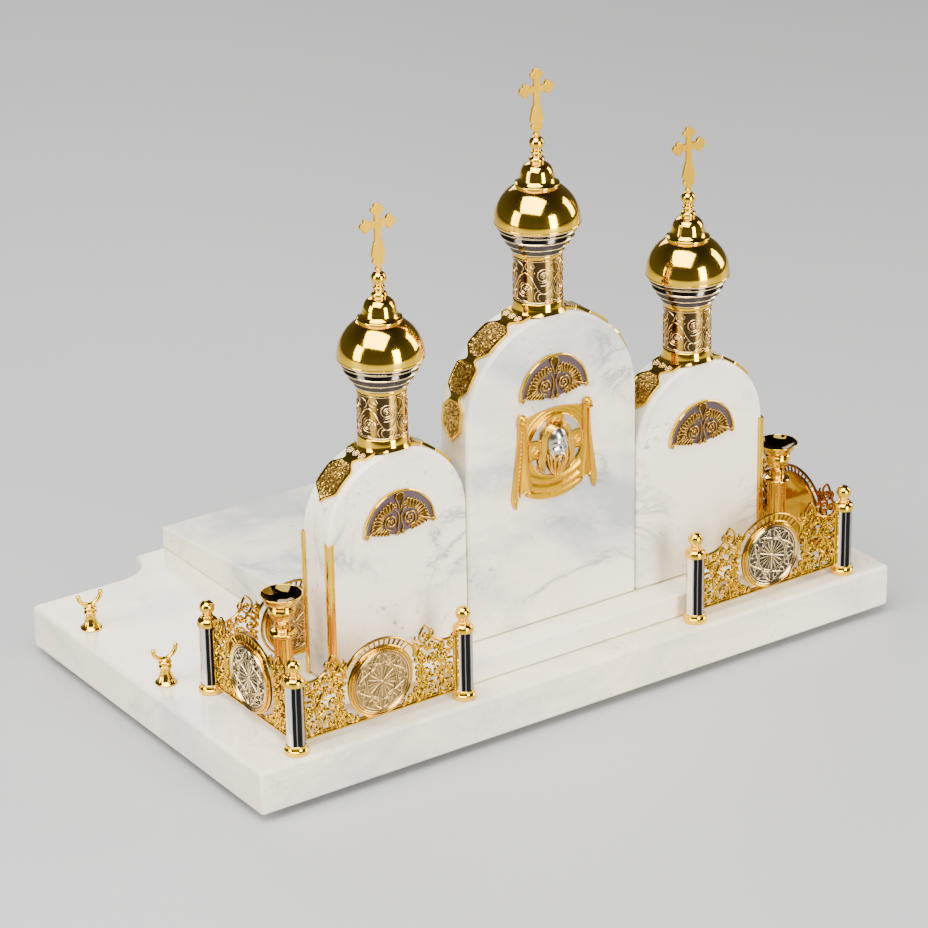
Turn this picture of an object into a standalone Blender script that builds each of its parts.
"""White marble and gilt brass desk piece in the form of a three-domed church front.

Design values are in millimetres and every mesh is built in metres. The origin is the
middle of the footprint at table level: +X runs along the long edge, -Y is the side that
carries the icon, and +Z is up. Touching pieces keep a clearance of GAP.
"""

import math

import bmesh
import bpy
from mathutils import Matrix, Vector

MM = 0.001
GAP = 0.3
SEAM = 0.2

# Marble base: a long slab with a rear extension, on a recessed plinth
PLINTH_HEIGHT = 6.0
PLINTH_INSET = 18.0
BASE_WIDTH = 500.0
BASE_DEPTH = 291.0
BASE_THICKNESS = 30.0
EXTENSION_WIDTH = 311.0
EXTENSION_DEPTH = 27.5
BASE_EDGE = 2.5
FRONT = -(BASE_DEPTH + EXTENSION_DEPTH) / 2
BACK = -FRONT
BASE_TOP = PLINTH_HEIGHT + BASE_THICKNESS

# Step that the arches stand on, and the sloping slab behind them
STEP_WIDTH = 376.0
STEP_FRONT = FRONT + 20.4
STEP_DEPTH = 70.0
STEP_TOP = BASE_TOP + 16.6
SLOPE_WIDTH = 266.0
SLOPE_BACK_TOP = BASE_TOP + 15.6
SLOPE_RISE = 0.08
MARBLE_EDGE = 1.5

# Arches
ARCH_THICKNESS = 30.0
ARCH_FRONT = FRONT + 41.0
ARCH_BACK = ARCH_FRONT + ARCH_THICKNESS
ARCH_MIDDLE = (ARCH_FRONT + ARCH_BACK) / 2
CENTRE_WIDTH = 133.0
SIDE_WIDTH = 104.0
CENTRE_APEX = PLINTH_HEIGHT + 258.5
SIDE_APEX = PLINTH_HEIGHT + 196.7
SIDE_X = (CENTRE_WIDTH + SIDE_WIDTH) / 2 + 0.2
ARCH_EDGE = 2.0
ARCHES = (
    ("left", -SIDE_X, SIDE_WIDTH, SIDE_APEX),
    ("centre", 0.0, CENTRE_WIDTH, CENTRE_APEX),
    ("right", SIDE_X, SIDE_WIDTH, SIDE_APEX),
)

# Gilt bands over the arches: (degrees from the apex, half width) along one side
BAND_THICKNESS = 1.6
CENTRE_BAND = (
    (0.0, 11.0), (17.0, 11.0), (22.5, 4.5), (29.0, 11.5), (42.0, 11.5), (50.0, 4.0),
    (54.5, 10.5), (66.0, 10.5), (72.0, 4.0), (79.0, 10.5), (88.0, 10.5), (97.2, 0.6),
)
SIDE_BAND = ((0.0, 11.0), (21.0, 11.0), (28.5, 4.5), (37.0, 11.5), (52.0, 11.5), (63.0, 0.6))

# Cupolas, measured upwards from the marble apex
DRUM_RADIUS = 16.0
DRUM_WALL = 1.6
DRUM_TOP = 39.7
COLLAR_TOP = 57.8
DOME_RADIUS = 27.4
DOME_WALL = 1.2
DOME_TOP = 82.0
CROWN_RIM_RADIUS = 14.1
BALL_CENTRE = 108.8
BALL_RADIUS = 4.8
CROSS_FOOT = 114.2
CROSS_TOP = 157.4
CROSS_SPAN = 26.0
CROSS_THICKNESS = 2.2
ROD_RADIUS = 2.0
ROD_DEPTH = 24.0

# Fences
POST_HEIGHT = 64.0
POST_RADIUS = 6.0
POST_FRONT = FRONT + 10.7
POST_REAR = FRONT + 113.0
POST_OUTER = 217.2
POST_INNER = 92.0
PANEL_THICKNESS = 1.6
PANEL_FOOT = 6.2
MEDALLION_RADIUS = 22.8
MEDALLION_HEIGHT = 30.9
MEDALLION_THICKNESS = 3.6
ARC_RADIUS = 30.0
ARC_CENTRE = 29.4

# Candle holders, pen rests and corner strips
CANDLE_X = 196.5
CANDLE_Y = FRONT + 56.0
CUP_SEAT = 65.5
CUP_RIM = 85.4
REST_X = -234.5
REST_Y = (FRONT + 139.8, FRONT + 237.5)
STRIP_LEG = 5.0
STRIP_WALL = 1.0

# Icon and lunettes, on the front faces
LUNETTE_WIDTH = 53.0
LUNETTE_RISE = 26.6
LUNETTE_DROP = 53.0
LUNETTE_THICKNESS = 2.6
ICON_BOTTOM = PLINTH_HEIGHT + 132.0
ICON_TOP = PLINTH_HEIGHT + 197.4
HEAD_HEIGHT = PLINTH_HEIGHT + 168.5

# Roundness of turned pieces
FINE_STEPS = 20
COARSE_STEPS = 12


def fresh_scene():
    """Empties the scene and makes the collections for the pieces and the cutters."""
    for old in list(bpy.data.objects):
        bpy.data.objects.remove(old, do_unlink=True)
    made = []
    for name in ("church_desk_piece", "cutters"):
        collection = bpy.data.collections.new(name)
        bpy.context.scene.collection.children.link(collection)
        made.append(collection)
    made[1].hide_render = True
    return made


PIECES, CUTTERS = fresh_scene()

FINISHES = {
    "marble": ((0.80, 0.79, 0.74), 0.18, 0.0),
    "polished_gold": ((0.95, 0.66, 0.22), 0.10, 1.0),
    "matte_gold": ((0.88, 0.62, 0.26), 0.38, 1.0),
    "antique_gold": ((0.52, 0.37, 0.16), 0.40, 1.0),
    "dark_nickel": ((0.30, 0.28, 0.27), 0.12, 1.0),
    "chrome": ((0.80, 0.80, 0.82), 0.06, 1.0),
    "graphite": ((0.14, 0.12, 0.13), 0.35, 0.7),
    "steel": ((0.55, 0.55, 0.56), 0.30, 1.0),
    "black_rubber": ((0.02, 0.02, 0.02), 0.80, 0.0),
}


def finish(obj, name, look):
    """Names a piece, gives it its own material and puts it with the others."""
    colour, roughness, metallic = FINISHES[look]
    material = bpy.data.materials.new(name + "_" + look)
    material.use_nodes = True
    shader = material.node_tree.nodes["Principled BSDF"]
    shader.inputs["Base Color"].default_value = (*colour, 1.0)
    shader.inputs["Roughness"].default_value = roughness
    shader.inputs["Metallic"].default_value = metallic
    obj.name = name
    obj.data.name = name
    obj.data.materials.clear()
    obj.data.materials.append(material)
    return obj


def place(data, location=(0, 0, 0), rotation=(0, 0, 0), collection=None):
    """Puts mesh or curve data in the scene at a point given in millimetres."""
    obj = bpy.data.objects.new("piece", data)
    obj.location = Vector(location) * MM
    obj.rotation_euler = [math.radians(angle) for angle in rotation]
    (collection or PIECES).objects.link(obj)
    return obj


def arc(centre, radius, start, end, steps):
    """Points on a circle from start to end, in degrees anticlockwise from the first axis."""
    angles = [math.radians(start + (end - start) * i / steps) for i in range(steps + 1)]
    return [(centre[0] + radius * math.cos(a), centre[1] + radius * math.sin(a)) for a in angles]


def mirrored(half):
    """A closed outline from its right half, listed from the bottom to the top."""
    return list(half) + [(-x, y) for x, y in reversed(half) if abs(x) > 0.01]


def outline_mesh(name, outlines, thickness):
    """A flat plate: closed outlines filled in the XY plane, centred on it, as a welded mesh."""
    curve = bpy.data.curves.new(name, "CURVE")
    curve.dimensions = "2D"
    curve.fill_mode = "BOTH"
    curve.extrude = thickness / 2 * MM
    for points in outlines:
        spline = curve.splines.new("POLY")
        spline.points.add(len(points) - 1)
        for point, (x, y) in zip(spline.points, points):
            point.co = (x * MM, y * MM, 0, 1)
        spline.use_cyclic_u = True
    guide = place(curve)
    bpy.context.view_layer.update()
    graph = bpy.context.evaluated_depsgraph_get()
    mesh = bpy.data.meshes.new_from_object(guide.evaluated_get(graph))
    bpy.data.objects.remove(guide)
    bpy.data.curves.remove(curve)
    shape = bmesh.new()
    shape.from_mesh(mesh)
    bmesh.ops.remove_doubles(shape, verts=shape.verts, dist=0.00001)
    bmesh.ops.recalc_face_normals(shape, faces=shape.faces)
    shape.to_mesh(mesh)
    shape.free()
    return mesh


def soften(obj, width, segments=2, angle=40):
    """Rounds the edges of a piece."""
    bevel = obj.modifiers.new("soft edges", "BEVEL")
    bevel.width = width * MM
    bevel.segments = segments
    bevel.limit_method = "ANGLE"
    bevel.angle_limit = math.radians(angle)


def slab(name, outline, bottom, top, edge):
    """A marble slab from its plan outline."""
    mesh = outline_mesh(name, [outline], top - bottom)
    obj = finish(place(mesh, (0, 0, (bottom + top) / 2)), name, "marble")
    soften(obj, edge)
    return obj


def rectangle(x0, y0, x1, y1):
    return [(x0, y0), (x1, y0), (x1, y1), (x0, y1)]


def turned(name, look, profile, steps, location, collection=None):
    """A turned piece from (radius, height) points that run down its outer side."""
    mesh = bpy.data.meshes.new(name)
    count = len(profile)
    edges = [(i, i + 1) for i in range(count - 1)]
    if min(profile[0][0], profile[-1][0]) > 0.01:
        edges.append((count - 1, 0))
    mesh.from_pydata([(r * MM, 0, z * MM) for r, z in profile], edges, [])
    obj = place(mesh, location, collection=collection)
    screw = obj.modifiers.new("turn", "SCREW")
    screw.steps = steps
    screw.render_steps = steps
    screw.use_merge_vertices = True
    screw.merge_threshold = 0.00001
    return finish(obj, name, look) if collection is None else obj


def cut(obj, cutter, operation="DIFFERENCE"):
    """Cuts a piece with another solid, or joins the two, with the exact solver."""
    cutter.hide_render = True
    cutter.display_type = "WIRE"
    modifier = obj.modifiers.new(operation.lower(), "BOOLEAN")
    modifier.operation = operation
    modifier.solver = "EXACT"
    modifier.object = cutter


def cylinder(radius, depth, location, rotation=(0, 0, 0), steps=FINE_STEPS):
    """A cylinder that serves as a cutter or as the second half of a joined piece."""
    mesh = bpy.data.meshes.new("cylinder")
    shape = bmesh.new()
    bmesh.ops.create_cone(
        shape, cap_ends=True, segments=steps,
        radius1=radius * MM, radius2=radius * MM, depth=depth * MM,
    )
    shape.to_mesh(mesh)
    shape.free()
    return place(mesh, location, rotation, CUTTERS)


def base():
    half = EXTENSION_WIDTH / 2
    notch = EXTENSION_DEPTH
    shoulder = BACK - notch
    right = [(BASE_WIDTH / 2, FRONT), (BASE_WIDTH / 2, shoulder)]
    right += arc((half + notch, BACK), notch, 270, 180, 8)
    outline = right + [(-x, y) for x, y in reversed(right)]
    slab("base_slab", outline, PLINTH_HEIGHT, BASE_TOP, BASE_EDGE)
    x = BASE_WIDTH / 2 - PLINTH_INSET
    footprint = rectangle(-x, FRONT + PLINTH_INSET, x, shoulder - PLINTH_INSET)
    mesh = outline_mesh("base_plinth", [footprint], PLINTH_HEIGHT - GAP)
    finish(place(mesh, (0, 0, (PLINTH_HEIGHT - GAP) / 2)), "base_plinth", "black_rubber")


def step_and_slope():
    x = STEP_WIDTH / 2
    back = STEP_FRONT + STEP_DEPTH
    slab("front_step", rectangle(-x, STEP_FRONT, x, back), BASE_TOP + GAP, STEP_TOP, MARBLE_EDGE)
    front = ARCH_BACK + GAP
    rebate = back + GAP
    front_top = SLOPE_BACK_TOP + SLOPE_RISE * (BACK - front)
    side = [
        (rebate, BASE_TOP + GAP), (BACK, BASE_TOP + GAP), (BACK, SLOPE_BACK_TOP),
        (front, front_top), (front, STEP_TOP + GAP), (rebate, STEP_TOP + GAP),
    ]
    mesh = outline_mesh("rear_slope_slab", [side], SLOPE_WIDTH)
    obj = place(mesh, rotation=(90, 0, 90))
    soften(finish(obj, "rear_slope_slab", "marble"), MARBLE_EDGE / 2)


def arch(side, x, width, apex):
    radius = width / 2 - SEAM
    springing = apex - radius
    outline = [(-radius, STEP_TOP + GAP), (radius, STEP_TOP + GAP)]
    outline += arc((0, springing), radius, 0, 180, 28)
    mesh = outline_mesh(side + "_arch", [outline], ARCH_THICKNESS)
    obj = place(mesh, (x, ARCH_MIDDLE, 0), (90, 0, 0))
    soften(finish(obj, side + "_arch", "marble"), ARCH_EDGE, 1)


def band_half_width(stations, angle):
    """Half width of a band at an angle from the apex, eased between its stations."""
    for (a0, w0), (a1, w1) in zip(stations, stations[1:]):
        if a0 <= angle <= a1:
            t = (angle - a0) / (a1 - a0)
            return w0 + (w1 - w0) * (t * t * (3 - 2 * t))
    return stations[-1][1]


def band(side, x, width, apex):
    """Gilt strip bent over an arch: a loft of flat sections, narrow at its waists."""
    stations = CENTRE_BAND if side == "centre" else SIDE_BAND
    centre = apex - (width / 2 - SEAM)
    inner = width / 2 - SEAM + GAP
    reach = stations[-1][0]
    count = 2 * round(reach / 4.5)
    shape = bmesh.new()
    rings = []
    for i in range(count + 1):
        angle = reach * (2 * i / count - 1)
        half = band_half_width(stations, abs(angle))
        turn = math.radians(max(-90, min(90, angle)))
        drop = math.radians(max(0, abs(angle) - 90)) * inner
        ring = []
        for radius, y in ((inner, -half), (inner, half), (inner + BAND_THICKNESS, half),
                          (inner + BAND_THICKNESS, -half)):
            point = Vector((math.sin(turn) * radius, y, math.cos(turn) * radius - drop))
            ring.append(shape.verts.new(point * MM))
        rings.append(ring)
    for near, far in zip(rings, rings[1:]):
        for k in range(4):
            shape.faces.new((near[k], near[(k + 1) % 4], far[(k + 1) % 4], far[k]))
    shape.faces.new(rings[0])
    shape.faces.new(rings[-1])
    bmesh.ops.recalc_face_normals(shape, faces=shape.faces)
    mesh = bpy.data.meshes.new(side + "_arch_band")
    shape.to_mesh(mesh)
    shape.free()
    obj = finish(place(mesh, (x, ARCH_MIDDLE, centre)), side + "_arch_band", "polished_gold")
    bore = cylinder(ROD_RADIUS + GAP, 12, (x, ARCH_MIDDLE, apex), steps=12)
    cut(obj, bore)


def drum(side, x, width, apex):
    """Engraved tube whose foot is cut to the round of the band below it."""
    outer = DRUM_RADIUS
    inner = DRUM_RADIUS - DRUM_WALL
    top = DRUM_TOP - GAP
    foot = -3.0
    profile = [
        (inner, top), (outer, top), (outer, foot + 10), (outer, foot),
        (inner, foot), (inner, foot + 10),
    ]
    obj = turned(side + "_drum", "antique_gold", profile, FINE_STEPS, (x, ARCH_MIDDLE, apex))
    radius = width / 2 - SEAM + GAP + BAND_THICKNESS + GAP
    centre = apex - (width / 2 - SEAM)
    cut(obj, cylinder(radius, 60, (x, ARCH_MIDDLE, centre), (90, 0, 0), steps=96))


def collar(side, x, apex):
    """Stepped nickel collar between the drum and the dome."""
    bore = ROD_RADIUS + GAP
    rings = ((27.0, 3.8), (24.8, 4.5), (22.6, 4.5), (19.8, 3.2), (17.3, 1.6))
    top = COLLAR_TOP - GAP
    profile = [(bore, top)]
    for radius, height in rings:
        profile += [(radius, top - 0.5), (radius - 0.9, top - height + 0.5)]
        top -= height
    profile += [(16.4, DRUM_TOP), (bore, DRUM_TOP)]
    turned(side + "_dome_collar", "dark_nickel", profile, FINE_STEPS, (x, ARCH_MIDDLE, apex))


def dome(side, x, apex):
    """Spun shell, open underneath where the collar closes it."""
    top = DOME_TOP - COLLAR_TOP
    opening = math.degrees(math.asin(top / DOME_RADIUS))
    outer = arc((0, 0), DOME_RADIUS, opening, 0, 6)
    inner = arc((0, 0), DOME_RADIUS - DOME_WALL, 0, opening - 2, 5)
    bore = ROD_RADIUS + GAP
    profile = [(bore, top)] + outer + inner + [(bore, inner[-1][1])]
    origin = (x, ARCH_MIDDLE, apex + COLLAR_TOP)
    turned(side + "_dome", "polished_gold", profile, FINE_STEPS, origin)


def crown(side, x, apex):
    """Bell-shaped cap, bead, neck and ball that finish a dome."""
    foot = DOME_TOP + GAP
    profile = [
        (0, CROSS_FOOT - GAP), (1.9, CROSS_FOOT - GAP),
    ]
    profile += arc((0, BALL_CENTRE), BALL_RADIUS, 60, -50, 4)
    profile += [
        (3.8, 101.8), (3.1, 100.9), (5.1, 97.6), (4.5, 96.0),
        (8.4, 92.8), (11.0, 87.4), (CROWN_RIM_RADIUS, 84.0),
        (CROWN_RIM_RADIUS - 0.3, foot),
        (ROD_RADIUS + GAP, foot), (ROD_RADIUS + GAP, foot + 8), (0, foot + 8),
    ]
    turned(side + "_crown", "polished_gold", profile, COARSE_STEPS, (x, ARCH_MIDDLE, apex))


def rod(side, x, apex):
    """Threaded rod that draws a cupola down onto its arch."""
    top = DOME_TOP + 7.0
    length = top + ROD_DEPTH
    obj = cylinder(ROD_RADIUS, length, (x, ARCH_MIDDLE, apex + top - length / 2), steps=12)
    CUTTERS.objects.unlink(obj)
    PIECES.objects.link(obj)
    finish(obj, side + "_cupola_rod", "steel")
    hole = cylinder(ROD_RADIUS + GAP, 2 * ROD_DEPTH + 2 * GAP, (x, ARCH_MIDDLE, apex), steps=12)
    cut(bpy.data.objects[side + "_arch"], hole)


def bud(centre, direction, reach, spread):
    """Outline of a cross arm's budded end, seen from the arm."""
    ux, uy = direction
    vx, vy = -uy, ux
    shape = [
        (0.0, 2.2), (0.5, spread * 0.55), (1.6, spread * 0.62), (2.6, spread), (4.4, spread * 0.95),
        (5.4, spread * 0.58), (6.8, spread * 0.44), (reach, 0.0),
    ]
    side = [(centre[0] + ux * a + vx * b, centre[1] + uy * a + vy * b) for a, b in shape]
    other = [(centre[0] + ux * a - vx * b, centre[1] + uy * a - vy * b) for a, b in shape[:-1]]
    return other + list(reversed(side))


def cross(side, x, apex):
    """Flat cross with budded ends and a baluster foot."""
    height = CROSS_TOP - CROSS_FOOT
    bar = height - 15.5
    arm = CROSS_SPAN / 2 - 8.0
    half = 2.2
    right = [
        (2.4, 0.0), (2.6, 1.0), (1.7, 2.2), (1.8, 3.4), (4.3, 5.6), (4.4, 7.2), (3.5, 8.3),
        (4.9, 10.6), (4.6, 12.6), (3.3, 17.2), (2.6, 18.4), (2.1, 20.5), (half, bar - half),
    ]
    right += bud((arm, bar), (1, 0), 8.0, 4.6)
    right += [(half, bar + half)]
    right += bud((0, height - 8.0), (0, 1), 8.0, 4.6)[:8]
    outline = mirrored(right)
    mesh = outline_mesh(side + "_cross", [outline], CROSS_THICKNESS)
    obj = place(mesh, (x, ARCH_MIDDLE, apex + CROSS_FOOT), (90, 0, 0))
    finish(obj, side + "_cross", "matte_gold")


def lunette(side, x, apex):
    """Half-round fan plate with its edges curled in at the foot."""
    centre = apex - LUNETTE_DROP
    a = LUNETTE_WIDTH / 2
    rim = [(a * math.cos(t), LUNETTE_RISE * math.sin(t)) for t in
           [math.pi * i / 24 for i in range(13)]]
    foot = [(0.0, -4.6), (3.4, -4.4), (8.0, -2.6), (16.0, -0.8), (21.4, 0.6), (24.4, -1.6)]
    outline = mirrored(foot + rim)
    mesh = outline_mesh(side + "_lunette", [outline], LUNETTE_THICKNESS)
    y = ARCH_FRONT - GAP - LUNETTE_THICKNESS / 2
    finish(place(mesh, (x, y, centre), (90, 0, 0)), side + "_lunette", "graphite")


def icon():
    """Cast cloth plaque with side folds, and the bearded head in relief on it."""
    middle = (ICON_TOP + ICON_BOTTOM) / 2
    half_height = (ICON_TOP - ICON_BOTTOM) / 2
    right = [
        (0.0, -half_height + 2.0), (12.0, -half_height + 3.0), (17.0, -half_height + 7.0),
        (21.5, -half_height + 9.0), (24.5, -half_height + 4.0), (27.0, -half_height),
        (30.0, -half_height + 6.0), (27.5, 8.0), (25.0, half_height - 8.0),
        (28.2, half_height - 5.6), (28.4, half_height - 2.4), (25.4, half_height),
        (22.4, half_height - 2.0), (20.0, half_height - 5.0), (12.0, half_height - 2.0),
        (0.0, half_height - 0.6),
    ]
    mesh = outline_mesh("icon_cloth", [mirrored(right)], 3.4)
    obj = place(mesh, (0, ARCH_FRONT - GAP - 1.7, middle), (90, 0, 0))
    finish(obj, "icon_cloth", "polished_gold")
    mesh = bpy.data.meshes.new("icon_head")
    shape = bmesh.new()
    bmesh.ops.create_uvsphere(shape, u_segments=18, v_segments=12, radius=1.0)
    widths = ((1.0, 1.0), (0.5, 1.1), (0.0, 1.0), (-0.5, 1.12), (-1.0, 1.0))
    for vert in shape.verts:
        z = vert.co.z
        for (z1, w1), (z0, w0) in zip(widths, widths[1:]):
            if z0 <= z <= z1:
                fullness = w0 + (w1 - w0) * (z - z0) / (z1 - z0)
        vert.co.x *= 10.6 * fullness * MM
        vert.co.y = max(min(vert.co.y, 0.0), -1.0) * 9.0 * MM
        vert.co.z *= 17.0 * MM
    bmesh.ops.remove_doubles(shape, verts=shape.verts, dist=0.000001)
    shape.to_mesh(mesh)
    shape.free()
    head = place(mesh, (0, ARCH_FRONT - 2 * GAP - 3.4, HEAD_HEIGHT))
    finish(head, "icon_head", "polished_gold")


def post(name, x, y):
    """Chrome column between a gilt foot ring and a gilt bell, neck and ball."""
    r = POST_RADIUS
    profile = [(0, POST_HEIGHT)]
    profile += arc((0, POST_HEIGHT - 5.0), 5.0, 50, -50, 4)
    profile += [
        (3.6, 53.6), (5.6, 51.6), (6.9, 47.6), (r, 46.6),
        (r, 5.2), (r + 1.7, 3.6), (r + 1.8, GAP), (0, GAP),
    ]
    turned(name, "chrome", profile, COARSE_STEPS, (x, y, BASE_TOP))


def level(line, u):
    """Height of a left to right line of points at u."""
    for (u0, w0), (u1, w1) in zip(line, line[1:]):
        if u0 <= u <= u1:
            return w0 + (w1 - w0) * (u - u0) / (u1 - u0)
    return line[-1][1]


def panel_outline(left, right):
    """Outline of a fence panel about its medallion, from the left end to the right end."""
    top = [
        (-66.0, 45.2), (-52.0, 44.6), (-46.0, 45.4), (-40.0, 48.6), (-36.6, 54.0), (-34.4, 58.6),
        (-32.2, 57.8), (-28.6, 53.6), (-25.0, 49.6),
    ]
    over = arc((0, ARC_CENTRE), ARC_RADIUS, 142, 38, 14)
    line = top + over + [(-u, w) for u, w in reversed(top)]
    kept = [(u, w) for u, w in line if left < u < right]
    heights = [(left, level(line, left))] + kept + [(right, level(line, right))]
    return [(left, PANEL_FOOT), *heights, (right, PANEL_FOOT)][::-1]


def fence_panel(name, x, y, turn, left, right, holed):
    """Filigree panel, with a round seat for its medallion or with the disc cast on."""
    outlines = [panel_outline(left, right)]
    if holed:
        outlines.append(arc((0, MEDALLION_HEIGHT), MEDALLION_RADIUS + GAP, 0, 360 - 360 / 28, 27))
    mesh = outline_mesh(name, outlines, PANEL_THICKNESS)
    obj = place(mesh, (x, y, BASE_TOP), (90, 0, turn))
    finish(obj, name, "polished_gold")
    if not holed:
        radius = min(MEDALLION_RADIUS, right, -left)
        disc = cylinder(
            radius - GAP, MEDALLION_THICKNESS,
            (x, y, BASE_TOP + MEDALLION_HEIGHT), (90, 0, turn), steps=28,
        )
        cut(obj, disc, "UNION")


def medallion(name, x, y, turn):
    """Round boss set in a panel: proud in front, flush and mirror polished behind."""
    r = MEDALLION_RADIUS
    profile = [
        (0, 2.2), (r - 4.0, 2.2), (r - 3.0, 2.9), (r - 0.6, 2.9), (r, 2.2), (r, -0.8), (0, -0.8),
    ]
    obj = turned(name, "antique_gold", profile, 28, (x, y, BASE_TOP + MEDALLION_HEIGHT))
    obj.rotation_euler = (math.radians(90), 0, math.radians(turn))


def fences():
    inner = -POST_INNER
    outer = -POST_OUTER
    reach = (POST_OUTER - POST_INNER) / 2 - POST_RADIUS - GAP
    side_reach = (POST_REAR - POST_FRONT) / 2 - POST_RADIUS - GAP
    middle = (inner + outer) / 2
    side_middle = (POST_FRONT + POST_REAR) / 2
    slope_side = -SLOPE_WIDTH / 2 - GAP
    for side, sign in (("left", 1), ("right", -1)):
        post(side + "_inner_post", sign * inner, POST_FRONT)
        post(side + "_corner_post", sign * outer, POST_FRONT)
        post(side + "_rear_post", sign * outer, POST_REAR)
        turn = -90 * sign
        fence_panel(side + "_front_panel", sign * middle, POST_FRONT, 0, -reach, reach, True)
        fence_panel(side + "_side_panel", sign * outer, side_middle, turn,
                    -side_reach, side_reach, True)
        ends = (-reach, slope_side - middle)
        if sign < 0:
            ends = (-ends[1], -ends[0])
        fence_panel(side + "_rear_panel", sign * middle, POST_REAR, 0, *ends, False)
        medallion(side + "_front_medallion", sign * middle, POST_FRONT, 0)
        medallion(side + "_side_medallion", sign * outer, side_middle, turn)


def candle_holder(side, x):
    """Fluted stem with a knop, and the dished cup that sits on it."""
    stem = [
        (0, CUP_SEAT - GAP), (5.4, CUP_SEAT - GAP), (5.0, 63.4), (8.4, 60.6), (8.75, 58.6),
        (5.8, 55.4), (5.9, 8.0), (7.6, 3.4), (7.9, GAP), (0, GAP),
    ]
    turned(side + "_candle_stem", "polished_gold", stem, COARSE_STEPS, (x, CANDLE_Y, BASE_TOP))
    cup = [
        (0, 79.2), (4.0, 79.4), (9.0, 81.4), (12.9, CUP_RIM - 0.2), (13.6, CUP_RIM - 0.4),
        (12.8, 83.0), (10.8, 79.4), (9.4, 75.8), (6.8, 71.0), (6.0, 69.0), (6.2, CUP_SEAT),
        (0, CUP_SEAT),
    ]
    turned(side + "_candle_cup", "polished_gold", cup, 16, (x, CANDLE_Y, BASE_TOP))


def pen_rest(name, y):
    """Small turned foot with two beads that carries a two-pronged fork."""
    foot = [
        (0, 15.6), (2.2, 15.6), (3.5, 14.0), (2.3, 12.4), (3.5, 10.9), (2.4, 9.6), (2.9, 6.4),
        (4.2, 3.6), (7.2, 1.6), (7.2, GAP), (0, GAP),
    ]
    obj = turned(name, "polished_gold", foot, COARSE_STEPS, (REST_X, y, BASE_TOP))
    fork = arc((0, 23.4), 9.2, 218, 322, 7) + [(8.0, 22.4), (8.2, 25.6), (6.6, 26.2), (5.9, 23.0)]
    fork += arc((0, 23.0), 6.6, 318, 222, 7) + [(-5.9, 23.0), (-6.6, 26.2), (-8.2, 25.6), (-8.0, 22.4)]
    prongs = place(outline_mesh("fork", [fork], 3.4), (REST_X, y, BASE_TOP), (90, 0, 0), CUTTERS)
    cut(obj, prongs, "UNION")


def corner_strip(name, corner_x, y, facing_x, facing_y):
    """Bent gilt strip over a vertical marble corner."""
    a = STRIP_LEG
    out = STRIP_WALL + GAP
    outline = [(out, out), (out, -a), (GAP, -a), (GAP, GAP), (-a, GAP), (-a, out)]
    outline = [(corner_x + facing_x * u, y + facing_y * v) for u, v in outline]
    springing = SIDE_APEX - SIDE_WIDTH / 2
    foot = STEP_TOP + GAP
    mesh = outline_mesh(name, [outline], springing - foot)
    finish(place(mesh, (0, 0, (springing + foot) / 2)), name, "polished_gold")


def corner_strips():
    edge = SIDE_X + SIDE_WIDTH / 2 - SEAM
    for side, sign in (("left", -1), ("right", 1)):
        corner_strip(side + "_front_strip", sign * edge, ARCH_FRONT, sign, -1)
        corner_strip(side + "_rear_strip", sign * edge, ARCH_BACK, sign, 1)


def shade():
    """Smooth shading that keeps the crisp edges."""
    for obj in PIECES.objects:
        obj.data.shade_smooth()
        obj.data.set_sharp_from_angle(angle=math.radians(35))


def build():
    base()
    step_and_slope()
    for side, x, width, apex in ARCHES:
        arch(side, x, width, apex)
        band(side, x, width, apex)
        drum(side, x, width, apex)
        collar(side, x, apex)
        dome(side, x, apex)
        crown(side, x, apex)
        cross(side, x, apex)
        rod(side, x, apex)
        lunette(side, x, apex)
    icon()
    fences()
    for side, x in (("left", -CANDLE_X), ("right", CANDLE_X)):
        candle_holder(side, x)
    pen_rest("front_pen_rest", REST_Y[0])
    pen_rest("rear_pen_rest", REST_Y[1])
    corner_strips()
    shade()


build()
